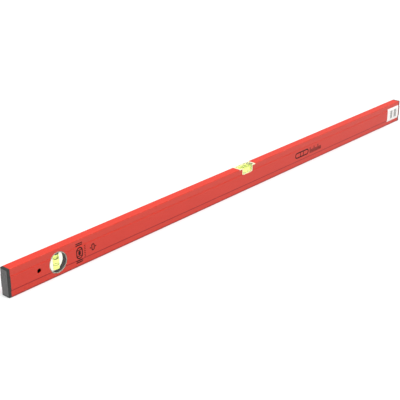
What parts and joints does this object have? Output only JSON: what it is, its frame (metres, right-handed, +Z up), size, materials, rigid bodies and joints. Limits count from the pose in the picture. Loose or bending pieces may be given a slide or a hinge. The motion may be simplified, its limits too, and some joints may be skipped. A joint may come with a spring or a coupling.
{
  "type": "spirit level",
  "caption": "Long box-section spirit level standing on its edge, with a centre vial let into the top, a round plumb vial near one end, plastic end caps and a hanging hole.",
  "frame": {"origin": "middle of the bottom measuring face, level standing on that face", "axes": "+X along the body towards the labelled end, +Y from the front face to the back, +Z up"},
  "size_m": [1.2, 0.0201, 0.05],
  "materials": {
    "red_powder_coat": "smooth semi-gloss powder coat",
    "cap_plastic": "fine grained moulded plastic",
    "pad_rubber": "dull, slightly textured",
    "label_paper": "coated paper sticker",
    "carrier_plastic": "natural translucent moulding",
    "clear_acrylic": "polished clear acrylic",
    "vial_liquid": "clear yellow-green liquid",
    "bubble_air": "air",
    "ring_black": "black printed ring",
    "plug_resin": "brown sealing resin",
    "amber_adhesive": "cured amber adhesive",
    "bezel_plastic": "natural moulding, glossy"
  },
  "bodies": {
    "level_body": {"box_profile": "red_powder_coat", "end_cap_left": "cap_plastic", "end_cap_right": "cap_plastic", "end_pad_left": "pad_rubber", "end_pad_right": "pad_rubber", "stock_label": "label_paper", "centre_vial_carrier": "carrier_plastic", "centre_vial_block": "clear_acrylic", "centre_vial_liquid": "vial_liquid", "centre_vial_rings": "ring_black", "centre_vial_plug": "plug_resin", "centre_vial_bond": "amber_adhesive", "plumb_vial_block": "clear_acrylic", "plumb_vial_bezel_front": "bezel_plastic", "plumb_vial_bezel_back": "bezel_plastic", "plumb_vial_bond": "amber_adhesive", "plumb_vial_liquid": "vial_liquid", "plumb_vial_rings": "ring_black", "plumb_vial_plug": "plug_resin"},
    "centre_bubble": {"centre_vial_bubble": "bubble_air"},
    "plumb_bubble": {"plumb_vial_bubble": "bubble_air"}
  },
  "joints": [
    {"name": "centre_bubble_slide", "type": "slide", "parent": "level_body", "child": "centre_bubble", "axis": [1, 0, 0], "range_m": [-0.012, 0.012], "stiffness_N_per_m": 0.5},
    {"name": "plumb_bubble_slide", "type": "slide", "parent": "level_body", "child": "plumb_bubble", "axis": [0, 0, 1], "range_m": [-0.016, 0], "stiffness_N_per_m": 4, "springref_m": 0.004}
  ]
}
